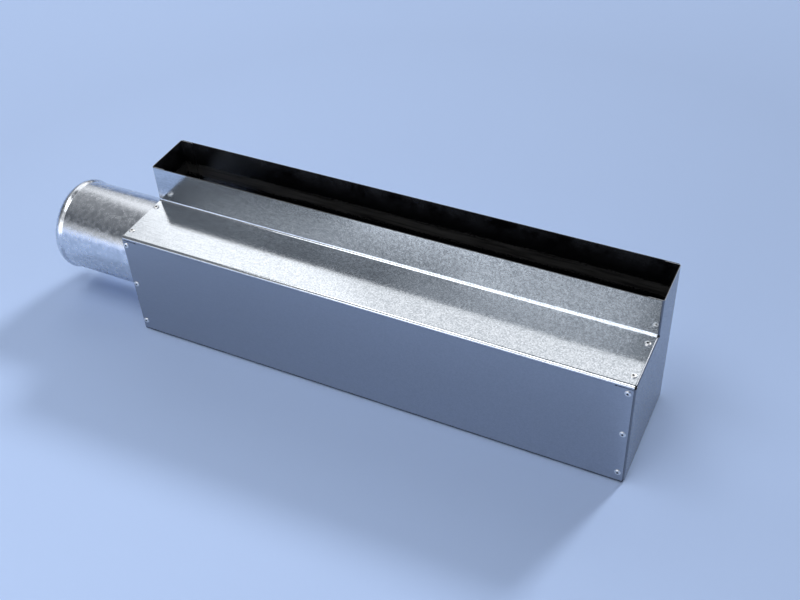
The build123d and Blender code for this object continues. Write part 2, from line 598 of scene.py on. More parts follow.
@dataclass(frozen=True)
class ShadedCutEnds(Layer):
    """Near-black cut ends of the sheet: bare steel, darkened further as painted shade of the seam gap
    against the caps; all that lies beyond a face, by X to either side.
    """

    # Painted shade of the seam gap, over the bare steel's own darker tone.
    colour: Colour = (0.10, 0.10, 0.11, 1.0)
    roughness: float = 0.6
    face: float = 273.15 * MM
    fade: float = 0.1 * MM

    def lay(self, coat: Coat) -> None:
        """Paints the cut ends near black.

        Args:
            coat: The coat that it goes over.
        """
        far = coat.bench.math("ABSOLUTE", coat.axis("X"))
        mask = coat.bench.ranged(far, self.face - self.fade, self.face, 0.0, 1.0)
        coat.cover(mask, self.colour, self.roughness)


@dataclass(frozen=True)
class ShadedBend(Layer):
    """A cap's folds, darkened by painted shade that dims the key lamp's highlight on them, and made
    rougher: all between two faces, by X to either side.
    """

    # Painted shade: a dark colour on the folds that dims their highlight.
    colour: Colour = (0.21, 0.22, 0.245, 1.0)
    roughness: float = 0.4
    start: float = 273.2 * MM
    stop: float = 274.9 * MM
    fade: float = 0.2 * MM

    def lay(self, coat: Coat) -> None:
        """Paints shade onto the folds, and dulls them.

        Args:
            coat: The coat that it goes over.
        """
        bench = coat.bench
        far = bench.math("ABSOLUTE", coat.axis("X"))
        beyond = bench.ranged(far, self.start, self.start + self.fade, 0.0, 1.0)
        before = bench.ranged(far, self.stop - self.fade, self.stop, 1.0, 0.0)
        coat.cover(bench.math("MULTIPLY", beyond, before), self.colour, self.roughness)


@dataclass(frozen=True)
class ShadedFoot(Layer):
    """Near-black painted shade along the foot, where the bottom bend meets the floor."""

    # Painted shade: near black along the foot.
    colour: Colour = (0.07, 0.07, 0.075, 1.0)
    roughness: float = 0.6
    low: float = 2.6 * MM
    high: float = 3.6 * MM

    def lay(self, coat: Coat) -> None:
        """Paints shade along the foot."""
        sockets = {"Vector": coat.place, "Low": self.low, "High": self.high}
        coat.cover(FootShade().place(coat.bench, sockets)["Mask"], self.colour, self.roughness)


@dataclass(frozen=True)
class BlackPaint(Layer):
    """Black paint inside the neck, dry and dull along the neck's foot, with a painted reflection of the
    blue surroundings that grows towards its top.
    """

    paint: Colour = (0.002, 0.002, 0.0025, 1.0)
    overspray: Colour = (0.062, 0.061, 0.06, 1.0)
    # Painted reflection: a bluish grey for the surroundings seen in the gloss paint.
    painted_reflection: Colour = (0.022, 0.024, 0.029, 1.0)
    gloss: float = 0.22
    dull: float = 0.7
    low_edge: float = 98.0 * MM
    full_edge: float = 104.0 * MM
    dry_middle: float = 137.0 * MM
    dry_core: float = 5.0 * MM
    dry_reach: float = 8.0 * MM
    reflection_low: float = 148.0 * MM
    reflection_high: float = 170.0 * MM

    def lay(self, coat: Coat) -> None:
        """Paints the inside.

        Args:
            coat: The coat that it goes over.
        """
        bench = coat.bench
        sockets = {
            "Vector": coat.place,
            "Inside": bench.inside_mark(),
            "Low Edge": self.low_edge,
            "Full Edge": self.full_edge,
            "Dry Middle": self.dry_middle,
            "Dry Core": self.dry_core,
            "Dry Reach": self.dry_reach,
            "Reflection Low": self.reflection_low,
            "Reflection High": self.reflection_high,
        }
        spray = BlackSpray().place(bench, sockets)
        # Painted reflection: soft bluish patches towards the top of the black paint.
        colour = bench.blend(spray["Scuff"], self.paint, self.painted_reflection)
        colour = bench.blend(spray["Dry"], colour, self.overspray)
        coat.cover(spray["Mask"], colour, bench.blend_value(spray["Dry"], self.gloss, self.dull))
        coat.metallic = bench.math("SUBTRACT", 1.0, spray["Mask"])


@dataclass(frozen=True)
class LedgeDish(Layer):
    """The slight dish of the ledge, which leans down to the front.

    Its height is a slope, times y less y squared over twice the dish's round. The slope runs evenly
    from the left end to the right one.
    """

    left: float = 0.054
    right: float = 0.017
    reach: float = 275.0 * MM
    round: float = 90.0 * MM

    def lay(self, coat: Coat) -> None:
        """Dishes the ledge.

        Args:
            coat: The coat that it goes over.
        """
        bench = coat.bench
        y = coat.axis("Y")
        slope = bench.ranged(coat.axis("X"), -self.reach, self.reach, self.left, self.right)
        sag = bench.math("MULTIPLY", y, bench.math("MULTIPLY", y, 0.5 / self.round))
        dish = bench.math("MULTIPLY", slope, bench.math("SUBTRACT", y, sag))
        coat.height = bench.math("ADD", coat.height, dish)


@dataclass(frozen=True)
class Finish:
    """A finish, as a material that is built once."""

    name: str

    def coat(self, bench: NodeBench, place: Socket) -> Coat:
        """Lays out the finish's nodes.

        Args:
            bench: The material's nodes.
            place: The place on the piece, in metres.

        Returns:
            What feeds the shader.
        """
        raise NotImplementedError

    def material(self) -> bpy.types.Material:
        """Builds the finish once.

        Returns:
            The material.
        """
        known = bpy.data.materials.get(self.name)
        if known is not None:
            return known
        material = bpy.data.materials.new(self.name)
        material.use_nodes = True
        bench = NodeBench(material.node_tree)
        place = bench.add("ShaderNodeTexCoord").outputs["Object"]
        self.coat(bench, place).wire(material.node_tree.nodes["Principled BSDF"])
        return material


@dataclass(frozen=True)
class ZincFinish(Finish):
    """Bright galvanised steel with its spangle.

    The spangle gives way to faint streaks from the calm span's right end to its left. Layers lie over
    the zinc in their order.
    """

    light: Colour = (0.81, 0.845, 0.89, 1.0)
    dark: Colour = (0.425, 0.46, 0.50, 1.0)
    crystal: float = 4.0 * MM
    grain: float = 1.1 * MM
    crystal_share: float = 0.15
    smoothest: float = 0.08
    roughest: float = 0.17
    tilt_depth: float = 0.04 * MM
    streak_share: float = 0.35
    calm_left: float = 0.3
    calm_span: Span = (-240.0 * MM, 90.0 * MM)
    cloud_share: float = 0.5
    worn_span: Span = (0.25, 0.75)
    layers: tuple[Layer, ...] = ()

    def coat(self, bench: NodeBench, place: Socket) -> Coat:
        """Lays out the spangle and the layers over it.

        Args:
            bench: The material's nodes.
            place: The place on the piece, in metres.

        Returns:
            What feeds the shader.
        """
        sockets = {
            "Vector": place,
            "Crystal Scale": 1 / self.crystal,
            "Grain Scale": 1 / self.grain,
            "Crystal Share": self.crystal_share,
        }
        spangle = Spangle().place(bench, sockets)
        tone = spangle["Tone"]
        if self.calm_left < 1:
            lively = bench.ranged(bench.axis(place, "X"), *self.calm_span, self.calm_left, 1.0)
            calm_tone = bench.blend_value(self.streak_share, NOISE_MIDDLE, spangle["Streak"])
            tone = bench.blend_value(lively, calm_tone, tone)
        worn = bench.blend_value(self.cloud_share, tone, spangle["Cloud"])
        coat = Coat(
            bench,
            place,
            colour=bench.blend(tone, self.dark, self.light),
            roughness=bench.ranged(worn, *self.worn_span, self.smoothest, self.roughest),
            height=bench.math("MULTIPLY", spangle["Height"], self.tilt_depth),
        )
        for layer in self.layers:
            layer.lay(coat)
        return coat


@dataclass(frozen=True)
class RivetFinish(Finish):
    """Bright aluminium of a blind rivet, near black in the broken-off mandrel's hole: the steel stub's
    darker tone together with painted shade of the recess.
    """

    light: Colour = (0.90, 0.90, 0.90, 1.0)
    dull: Colour = (0.76, 0.765, 0.77, 1.0)
    # The hole's colour is painted shade of the recess over the steel stub's darker tone.
    hole: Colour = (0.02, 0.02, 0.022, 1.0)
    scuff_size: float = 0.6 * MM
    scuff_depth: float = 0.02 * MM
    scuff_span: Span = (0.3, 0.7)
    smoothest: float = 0.34
    roughest: float = 0.46

    def coat(self, bench: NodeBench, place: Socket) -> Coat:
        """Lays out the scuffed metal and the hole.

        Args:
            bench: The material's nodes.
            place: The place on the piece, in metres.

        Returns:
            What feeds the shader.
        """
        scuff = bench.noise(place, self.scuff_size, detail=3.0, rough=0.6)
        metal = bench.blend(bench.ranged(scuff, *self.scuff_span, 0.0, 1.0), self.dull, self.light)
        return Coat(
            bench,
            place,
            # Painted shade: near black in the mandrel's hole, by the inside mark.
            colour=bench.blend(bench.inside_mark(), metal, self.hole),
            roughness=bench.ranged(scuff, *self.scuff_span, self.smoothest, self.roughest),
            height=bench.math("MULTIPLY", scuff, self.scuff_depth),
        )


SHEET_ZINC = ZincFinish(
    "bright_galvanised_sheet",
    layers=(ShadedFront(), ShadedCutEnds(), ShadedFoot(), BlackPaint(), LedgeDish()),
)
# The caps are the same galvanised sheet; their lowered light and dark colours are painted shade, for the
# caps standing in shade.
SHADED_CAP_ZINC = ZincFinish(
    "galvanised_cap_painted_shade",
    light=(0.36, 0.38, 0.425, 1.0),
    dark=(0.28, 0.30, 0.335, 1.0),
    smoothest=0.24,
    roughest=0.38,
    layers=(ShadedBend(), ShadedFoot(), BlackPaint()),
)
SPIGOT_ZINC = ZincFinish(
    "blotchy_galvanised_collar",
    light=(0.73, 0.76, 0.81, 1.0),
    dark=(0.59, 0.62, 0.665, 1.0),
    crystal=5.0 * MM,
    grain=2.0 * MM,
    crystal_share=0.9,
    smoothest=0.18,
    roughest=0.3,
    tilt_depth=0.02 * MM,
    calm_left=1.0,
)
RIVET_METAL = RivetFinish("bright_rivet_aluminium")


def place_piece(
    surface: Surface, node: str, material: bpy.types.Material
) -> bpy.types.Object:
    """Puts a finished surface into the scene in place of a solid.

    Args:
        surface: The finished surface.
        node: Name of the solid that it stands for.
        material: Finish of the whole piece.

    Returns:
        The new object.
    """
    mesh = surface.mesh(f"{node}_skin")
    mesh.materials.append(material)
    piece = bpy.data.objects.new(f"{node}_skin", mesh)
    bpy.context.scene.collection.objects.link(piece)
    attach(piece, BODY)
    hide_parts(node)
    return piece


@dataclass(frozen=True)
class BoxSizes:
    """Driving sizes of the box, and the faces that follow from them."""

    length: float = 550.0 * MM
    depth: float = 126.0 * MM
    height: float = 130.0 * MM
    neck_depth: float = 56.0 * MM
    neck_height: float = 42.0 * MM
    sheet: float = 0.8 * MM
    bend: float = 2.4 * MM
    cap_bend: float = 1.0 * MM

    @property
    def front(self) -> float:
        """Y of the front face."""
        return -self.depth / 2

    @property
    def back(self) -> float:
        """Y of the back face."""
        return self.depth / 2

    @property
    def neck(self) -> float:
        """Y of the neck's front face."""
        return self.back - self.neck_depth

    @property
    def top(self) -> float:
        """Z of the neck's top edge."""
        return self.height + self.neck_height

    @property
    def end(self) -> float:
        """X of the blank end cap's face."""
        return self.length / 2

    @property
    def cap_fold(self) -> float:
        """Outside radius of the end caps' folds."""
        return self.cap_bend + self.sheet


@dataclass
class BodySheet:
    """The folded sheet: neck wall, ledge, front, underside and back.

    It is slit under both ends of the ledge's fold. Each slit ends in a round relief hole, which runs from
    a flat at a share of its radius round to a share of a half turn, where the slit's sides close on it.
    """

    sizes: BoxSizes
    slit_length: float = 18.0 * MM
    slit_width: float = 0.8 * MM
    slit_below_fold: float = 0.6 * MM
    relief: float = 1.0 * MM
    relief_flat: float = 0.9
    relief_close: float = 0.87
    relief_points: int = 9
    bay_points: int = 25
    shoulder: float = 0.4 * MM
    paint_spill: float = 0.1 * MM

    def section(self) -> tuple[SheetLine, int]:
        """The sheet's middle line from the neck's top, over the ledge and round to the back's top.

        Returns:
            The line, and the number of its point at the slit's upper edge.
        """
        size = self.sizes
        half = size.sheet / 2
        corners = np.array(
            [
                (size.neck + half, size.top),
                (size.neck + half, size.height - half),
                (size.front + half, size.height - half),
                (size.front + half, half),
                (size.back - half, half),
                (size.back - half, size.top),
            ]
        )
        radii = np.full(4, size.bend + half)
        line = SheetLine.through(corners, radii, self.shoulder)
        # A fold has ARC_STEPS + 1 points on its arc and one on each shoulder.
        fold_end = 2 * (ARC_STEPS + 3)
        edge = self.gap(np.array([0.0]))[0]
        slit = self.slit_height()
        wall = size.front + half
        line.insert(fold_end, np.array([(wall, slit + edge), (wall, slit - edge)]))
        spill = size.top - self.paint_spill
        line.insert(len(line.points) - 2, np.array([(size.back - half, spill)]))
        line.insert(0, np.array([(size.neck + half, spill)]))
        return line, fold_end + 2

    def slit_height(self) -> float:
        """Z of the slits' middle."""
        return self.sizes.height - self.sizes.bend - self.sizes.sheet - self.slit_below_fold

    def slit_start(self) -> float:
        """X at which the right slit's relief hole begins."""
        return self.sizes.end - self.slit_length - self.relief_flat * self.relief

    def gap(self, x: np.ndarray) -> np.ndarray:
        """Half the slit's opening at each x.

        It is the relief hole's circle, sqrt(r^2 - (x - tip)^2), or half the slit's width where that is
        more. Between the slits it keeps the circle's first value, as two lines on a whole sheet.

        Args:
            x: Places along the box.

        Returns:
            Half openings.
        """
        tip = self.sizes.end - self.slit_length
        along = np.maximum(np.abs(x), self.slit_start()) - tip
        circle = np.sqrt(np.clip(self.relief**2 - along**2, 0, None))
        return np.where(along > 0, np.maximum(circle, self.slit_width / 2), circle)

    def stations(self) -> np.ndarray:
        """Places along the box: close round each relief hole and wide apart between them.

        Round a hole they are its middle less its radius times the cosine of evenly spaced angles.

        Returns:
            The places' x, from left to right.
        """
        sheet_end = self.sizes.end - self.sizes.cap_fold
        tip = self.sizes.end - self.slit_length
        swing = np.linspace(np.arccos(self.relief_flat), np.pi * self.relief_close, self.relief_points)
        hole = tip - self.relief * np.cos(swing)
        right = np.concatenate([hole, [sheet_end]])
        bay = np.linspace(-hole[0], hole[0], self.bay_points)[1:-1]
        return np.concatenate([-right[::-1], bay, right])

    def marks(self, line: SheetLine, stations: int) -> np.ndarray:
        """Inside marks of the sheet's points, with the cut ends bare and the neck's cut top marked.

        Args:
            line: The sheet's middle line.
            stations: Number of places along the box.

        Returns:
            Marks by place along the box and by place round the section.
        """
        marks = np.tile(line.marks(), (stations, 1))
        marks[[0, -1]] = 0.0
        last = len(line.points) - 1
        marks[:, [0, last, last + 1, 2 * last + 1]] = 1.0
        return marks

    def surface(self) -> Surface:
        """The section carried along the box, with the slits left open.

        Returns:
            The closed surface.
        """
        line, slit_row = self.section()
        loop = line.loop(self.sizes.sheet)
        x = self.stations()
        rows = len(line.points)
        last = len(loop) - 1
        grid = np.empty((len(x), len(loop), 3))
        grid[..., 0] = x[:, None]
        grid[..., 1:] = loop
        opening = self.gap(x)
        for row, sign in ((slit_row, 1), (slit_row + 1, -1)):
            grid[:, [row, last - row], 2] = (self.slit_height() + sign * opening)[:, None]
        surface = Surface()
        numbers = surface.add_points(grid, self.marks(line, len(x)))
        faces = grid_faces(numbers, close_columns=True)
        cut = np.abs((x[:-1] + x[1:]) / 2) > self.slit_start()
        keep = np.ones(faces.shape[:2], bool)
        keep[np.ix_(cut, [slit_row, last - slit_row - 1])] = False
        surface.add_faces(faces[keep])
        outer = numbers[:, :rows]
        inner = numbers[:, rows:][:, ::-1]
        for station, flip in ((0, -1), (-1, 1)):
            edge = grid_faces(np.stack([outer[station], inner[station]]))[0]
            surface.add_faces(np.delete(edge, slit_row, axis=0)[:, ::flip], smooth=False)
        for row, flip in ((slit_row, -1), (slit_row + 1, 1)):
            wall = grid_faces(np.stack([outer[:, row], inner[:, row]]))[0]
            surface.add_faces(wall[cut][:, ::flip], smooth=False)
        tips = np.flatnonzero(np.isclose(np.abs(x), self.slit_start()))
        for station, flip in zip(tips, (-1, 1)):
            corners = np.stack([outer[station], inner[station]])[:, slit_row:slit_row + 2]
            surface.add_faces(grid_faces(corners)[0][:, ::flip], smooth=False)
        return surface

    def build(self) -> bpy.types.Object:
        """Builds and dresses the sheet."""
        return place_piece(self.surface(), "body_shell", SHEET_ZINC.material())


@dataclass
class EndCap:
    """A stepped end plate with flanges folded into the box, whose top edge is a plain cut."""

    sizes: BoxSizes
    end: End
    flange: float = 15.0 * MM
    fit: float = 0.1 * MM
    corner_gap: float = 0.6 * MM
    hole_radius: float = 0.0
    hole_height: float = 0.0
    hole_steps: int = 96

    def outline(self) -> tuple[np.ndarray, np.ndarray]:
        """The flat plate's outline, from the lower front corner and anticlockwise seen from outside.

        Returns:
            Its points, and for each point the way into the plate if a flange is folded along the
            side that starts there, or zeros if that side is a plain cut.
        """
        size = self.sizes
        gap = size.sheet + self.fit
        inset = gap + size.cap_fold
        corner = gap + max(size.cap_fold, size.bend) + self.corner_gap
        front, back, neck = size.front, size.back, size.neck
        low, ledge, top = 0.0, size.height, size.top
        notch = self.corner_gap
        up, down, right, left, cut = (0, 1), (0, -1), (1, 0), (-1, 0), (0, 0)
        rows = [
            ((front + inset, low + inset), cut),
            ((front + corner, low + inset), up),
            ((back - corner, low + inset), cut),
            ((back - inset, low + inset), cut),
            ((back - inset, low + corner), left),
            ((back - inset, top), cut),
            ((neck + inset, top), right),
            ((neck + inset, ledge - gap + notch), cut),
            ((neck + inset, ledge - inset), cut),
            ((neck + gap - notch, ledge - inset), down),
            ((front + corner, ledge - inset), cut),
            ((front + inset, ledge - inset), cut),
            ((front + inset, ledge - corner), right),
            ((front + inset, low + corner), cut),
        ]
        return np.array([point for point, _ in rows]), np.array([way for _, way in rows], float)

    def flange_line(self) -> SheetLine:
        """The flange's section: depth into the box's side against x, from the plate round to the rim.

        Returns:
            The section's middle line.
        """
        size = self.sizes
        half = size.sheet / 2
        corners = np.array(
            [(size.cap_fold, size.end - half), (half, size.end - half), (half, size.end - self.flange)]
        )
        return SheetLine.through(corners, np.array([size.cap_bend + half]))

    def add_flange(
        self, surface: Surface, start: np.ndarray, stop: np.ndarray, inward: np.ndarray
    ) -> None:
        """Carries the flange's section along one side of the plate.

        Args:
            surface: The cap's surface.
            start: First point of the side, on the plate's outline.
            stop: Last point of the side.
            inward: Unit way into the plate.
        """
        line = self.flange_line()
        loop = line.loop(self.sizes.sheet)
        sides = np.stack([start, stop])
        grid = np.empty((2, len(loop), 3))
        grid[..., 0] = loop[:, 1]
        grid[..., 1:] = sides[:, None] + inward * (loop[:, :1] - self.sizes.cap_fold)
        numbers = surface.add_points(grid, line.marks())
        surface.add_faces(grid_faces(numbers))
        count = len(line.points)
        for side, flip in ((0, -1), (1, 1)):
            pair = np.stack([numbers[side, :count], numbers[side, count:][::-1]])
            surface.add_faces(grid_faces(pair)[0][:, ::flip], smooth=False)

    def plates(self, outline: np.ndarray) -> list[np.ndarray]:
        """The flat plate as one polygon, or as two round a hole.

        The two are parted by lines from the hole to the lower front corner and the upper back one.

        Args:
            outline: The plate's outline.

        Returns:
            Polygons, as arrays of points.
        """
        if not self.hole_radius:
            return [outline]
        centre = np.array([0.0, self.hole_height])
        # Number of the upper back corner, across from the lower front one
        opposite = 5
        spans = outline[[0, opposite]] - centre
        low, high = np.arctan2(spans[:, 1], spans[:, 0])
        half = self.hole_steps // 2
        under = np.linspace(high, low, half + 1)
        over = np.linspace(low + 2 * np.pi, high, half + 1)
        arms = [np.stack([np.cos(turn), np.sin(turn)], axis=1) for turn in (under, over)]
        rim = [centre + self.hole_radius * arm for arm in arms]
        first = np.concatenate([outline[:opposite + 1], rim[0]])
        second = np.concatenate([outline[opposite:], outline[:1], rim[1]])
        return [first, second]

    def surface(self) -> Surface:
        """The plate's two faces and cut edges, and the flanges round it, at the blank end.

        Returns:
            The closed surface, turned to the other end by a change of sign where it belongs there.
        """
        surface = Surface()
        size = self.sizes
        outline, folds = self.outline()
        outside, inside = size.end, size.end - size.sheet
        plates = self.plates(outline)
        for polygon in plates:
            for x, mark, flip in ((outside, 0.0, 1), (inside, 1.0, -1)):
                points = np.column_stack([np.full(len(polygon), x), polygon])
                numbers = surface.add_points(points, np.array(mark))
                surface.add_faces(numbers[None, ::flip], smooth=False)
        after = np.roll(outline, -1, axis=0)
        plain = ~folds.any(axis=1)
        self.add_walls(surface, outline[plain], after[plain])
        if self.hole_radius:
            half = self.hole_steps // 2
            rim = np.concatenate([polygon[-half - 1:] for polygon in plates])
            rim = np.delete(rim, half, axis=0)
            self.add_walls(surface, rim[:-1], rim[1:])
        for start, stop, way in zip(outline[~plain], after[~plain], folds[~plain]):
            self.add_flange(surface, start, stop, way)
        if self.end is End.SPIGOT:
            surface.points = [points * (-1, 1, 1) for points in surface.points]
            surface.faces = [face[::-1] for face in surface.faces]
        return surface

    def add_walls(self, surface: Surface, starts: np.ndarray, stops: np.ndarray) -> None:
        """Cut edges of the plate, one quad from its outside to its inside for each side.

        Args:
            surface: The cap's surface.
            starts: First points of the sides.
            stops: Last points of the sides.
        """
        x = np.array([self.sizes.end, self.sizes.end - self.sizes.sheet])
        sides = np.stack([starts, stops], axis=1)
        grid = np.empty((len(sides), 2, 2, 3))
        grid[..., 0] = x[:, None]
        grid[..., 1:] = sides[:, None]
        numbers = surface.add_points(grid, np.array([[0.0], [1.0]]))
        outer, inner = numbers[:, 0], numbers[:, 1]
        quads = np.stack([outer[:, 1], outer[:, 0], inner[:, 0], inner[:, 1]], axis=-1)
        surface.add_faces(quads, smooth=False)

    def build(self, node: str) -> bpy.types.Object:
        """Builds and dresses the cap in place of a solid."""
        return place_piece(self.surface(), node, SHADED_CAP_ZINC.material())


@dataclass
class DuctSpigot:
    """A rolled collar with a flange inside its end cap and a swaged bead round its open end."""

    sizes: BoxSizes
    radius: float = 49.5 * MM
    length: float = 112.0 * MM
    wall: float = 0.6 * MM
    below_ledge: float = 9.5 * MM
    flange: float = 5.0 * MM
    seat_fit: float = 0.1 * MM
    hole_fit: float = 0.2 * MM
    bead_width: float = 9.0 * MM
    bead_peak: float = 2.2 * MM
    bead_crown: float = 5.0 * MM
    bead_foot: float = 1.2 * MM
    shoulder: float = 0.3 * MM
    turns: int = 192

    @property
    def height(self) -> float:
        """Z of the collar's axis."""
        return self.sizes.height - self.below_ledge - self.radius

    def section(self) -> SheetLine:
        """The wall's section, x against radius: down the flange, along the wall and over the bead.

        Returns:
            The section's middle line.
        """
        half = self.wall / 2
        seat = -self.sizes.end + self.sizes.sheet + self.seat_fit
        mouth = -self.sizes.end - self.length
        mid = self.radius - half
        corners = np.array(
            [
                (seat + half, self.radius + self.flange),
                (seat + half, mid),
                (mouth + self.bead_width, mid),
                (mouth + self.bead_width / 2, mid + self.bead_peak),
                (mouth + half, mid),
            ]
        )
        radii = np.array([half, self.bead_foot, self.bead_crown])
        return SheetLine.through(corners, radii, self.shoulder)

    def surface(self) -> Surface:
        """The section turned about the collar's axis.

        Returns:
            The closed surface.
        """
        line = self.section()
        loop = line.loop(self.wall)
        angle = np.linspace(0, 2 * np.pi, self.turns, endpoint=False)[:, None]
        grid = np.empty((self.turns, len(loop), 3))
        grid[..., 0] = loop[:, 0]
        grid[..., 1] = loop[:, 1] * np.cos(angle)
        grid[..., 2] = loop[:, 1] * np.sin(angle) + self.height
        surface = Surface()
        numbers = surface.add_points(grid, line.marks())
        surface.add_faces(grid_faces(numbers, close_rows=True, close_columns=True))
        return surface

    def build(self) -> bpy.types.Object:
        """Builds and dresses the collar."""
        return place_piece(self.surface(), "duct_spigot", SPIGOT_ZINC.material())


@dataclass
class RivetRow:
    """One end's blind rivets: three on the front, three on the back and two on the ledge.

    Places on the stub and in the hole are shares of the mandrel's radius, and the tail's waist is a share
    of the shank's.
    """

    sizes: BoxSizes
    end: End
    inset: float
    head: float = 3.2 * MM
    rise: float = 1.1 * MM
    rim: float = 0.12 * MM
    shank: float = 1.6 * MM
    tail: float = 2.3 * MM
    tail_length: float = 2.6 * MM
    grip: float = 1.7 * MM
    mandrel: float = 1.15 * MM
    mandrel_depth: float = 0.75 * MM
    stub_flat: float = 0.3
    stub_groove: float = 0.75
    stub_dip: float = 0.1 * MM
    hole_foot: float = 0.85
    hole_lip: float = 0.92
    lip_drop: float = 0.15 * MM
    grip_fit: float = 0.1 * MM
    tail_waist: float = 0.85
    tail_round: float = 0.7
    low: float = 14.0 * MM
    below_ledge: float = 10.0 * MM
    margin: float = 13.0 * MM
    wall_count: int = 3
    ledge_count: int = 2
    dome_points: int = 12
    tail_points: int = 9
    turns: int = 40

    def seats(self) -> tuple[np.ndarray, np.ndarray]:
        """Where the rivets sit.

        Returns:
            Points on the outside of the sheet, and the unit way out of it at each.
        """
        size = self.sizes
        rows = np.linspace(self.low, size.height - self.below_ledge, self.wall_count)
        columns = np.linspace(size.front + self.margin, size.neck - self.margin, self.ledge_count)
        sides = np.repeat([size.front, size.back], self.wall_count)
        walls = np.column_stack([sides, np.tile(rows, 2)])
        ledge = np.column_stack([columns, np.full(self.ledge_count, size.height)])
        places = np.concatenate([walls, ledge])
        x = np.full(len(places), self.end.value * (size.end - self.inset))
        ways = [[0, -1, 0], [0, 1, 0], [0, 0, 1]]
        out = np.repeat(ways, [self.wall_count, self.wall_count, self.ledge_count], axis=0)
        return np.column_stack([x, places]), out.astype(float)

    def profile(self) -> tuple[np.ndarray, np.ndarray]:
        """The rivet's half section, radius against height, from the mandrel's stub to the tail's end.

        The dome's height falls as the square root of one less the cube of the share of the way from
        the mandrel's hole to the rim. The tail swells from its waist as a power of a half sine.

        Returns:
            The section's points, and their marks: 1 in the mandrel's hole and 0 elsewhere.
        """
        stub = self.rise - self.mandrel_depth
        share = np.sin(np.linspace(0, np.pi / 2, self.dome_points))
        reach = self.head - self.mandrel
        dome = np.column_stack(
            [
                self.mandrel + reach * share,
                self.rim + (self.rise - self.rim) * np.sqrt(1 - share**3),
            ]
        )
        hole = np.array(
            [
                (self.mandrel * self.stub_flat, stub),
                (self.mandrel * self.stub_groove, stub - self.stub_dip),
                (self.mandrel * self.hole_foot, stub),
                (self.mandrel * self.hole_lip, self.rise - self.lip_drop),
            ]
        )
        bulge = np.linspace(0, np.pi, self.tail_points)
        waist = self.shank * self.tail_waist
        swell = np.column_stack(
            [
                waist + (self.tail - waist) * np.sin(bulge) ** self.tail_round,
                -self.grip - self.tail_length * (1 - np.cos(bulge)) / 2,
            ]
        )
        neck = (self.shank, -self.grip + self.grip_fit)
        under = np.array([(self.head, 0.0), (self.shank, 0.0), neck])
        points = np.concatenate([hole, dome, under, swell])
        return points, np.repeat([1.0, 0.0], [len(hole), len(points) - len(hole)])

    def surface(self) -> Surface:
        """The half section turned about each seat's way out.

        Returns:
            The closed surfaces of all the rivets.
        """
        points, marks = self.profile()
        seats, out = self.seats()
        along = np.tile([1.0, 0.0, 0.0], (len(seats), 1))
        across = np.cross(out, along)
        angle = np.linspace(0, 2 * np.pi, self.turns, endpoint=False)
        ring = np.cos(angle)[:, None] * along[:, None] + np.sin(angle)[:, None] * across[:, None]
        radius, height = points[:, 0], points[:, 1]
        grid = (
            seats[:, None, None]
            + radius[:, None, None] * ring[:, None]
            + height[:, None, None] * out[:, None, None]
        )
        surface = Surface()
        numbers = surface.add_points(grid, marks[:, None])
        for rivet in numbers:
            surface.add_faces(grid_faces(rivet, close_columns=True)[..., ::-1])
            surface.add_faces(rivet[:1], smooth=False)
            surface.add_faces(rivet[-1:, ::-1], smooth=False)
        return surface

    def build(self, node: str) -> bpy.types.Object:
        """Builds and dresses the rivets in place of a solid."""
        return place_piece(self.surface(), node, RIVET_METAL.material())


def way_to(azimuth: float, elevation: float) -> Vector:
    """The unit way from the box to a place round it, by its angles in degrees."""
    turn, rise = np.radians([azimuth, elevation])
    return Vector((np.sin(turn) * np.cos(rise), -np.cos(turn) * np.cos(rise), np.sin(rise)))


def hang(lamp: bpy.types.Light, place: Vector, way: Vector) -> None:
    """Hangs a lamp at a place, turned to shine back along a way.

    Args:
        lamp: The lamp.
        place: Where it hangs.
        way: Unit way from what it lights to the lamp.
    """
    hung = bpy.data.objects.new(lamp.name, lamp)
    hung.location = place
    hung.rotation_euler = way.to_track_quat("Z", "Y").to_euler()
    bpy.context.scene.collection.objects.link(hung)


@dataclass(frozen=True)
class Softbox:
    """A soft rectangular lamp aimed at the box.

    Azimuth 0 is straight in front of the ledge side, and 90 is off the blank end. Glow is the lamp's
    own brightness, where 1 is white.
    """

    name: str
    azimuth: float
    elevation: float
    distance: float
    width: float
    height: float
    glow: float

    def build(self, aim: Vector) -> None:
        """Hangs the lamp.

        Args:
            aim: Point that it faces.
        """
        way = way_to(self.azimuth, self.elevation)
        lamp = bpy.data.lights.new(self.name, "AREA")
        lamp.shape = "RECTANGLE"
        lamp.size = self.width
        lamp.size_y = self.height
        lamp.energy = self.glow * np.pi * self.width * self.height
        hang(lamp, aim + way * self.distance, way)


@dataclass(frozen=True)
class KeySun:
    """A soft far lamp, as even over the whole floor as daylight; its angles are a softbox's."""

    azimuth: float = 163.0
    elevation: float = 36.0
    spread: float = 10.0
    strength: float = 1.6

    def build(self) -> None:
        """Hangs the lamp."""
        lamp = bpy.data.lights.new("key_lamp", "SUN")
        lamp.angle = np.radians(self.spread)
        lamp.energy = self.strength
        hang(lamp, Vector(), way_to(self.azimuth, self.elevation))


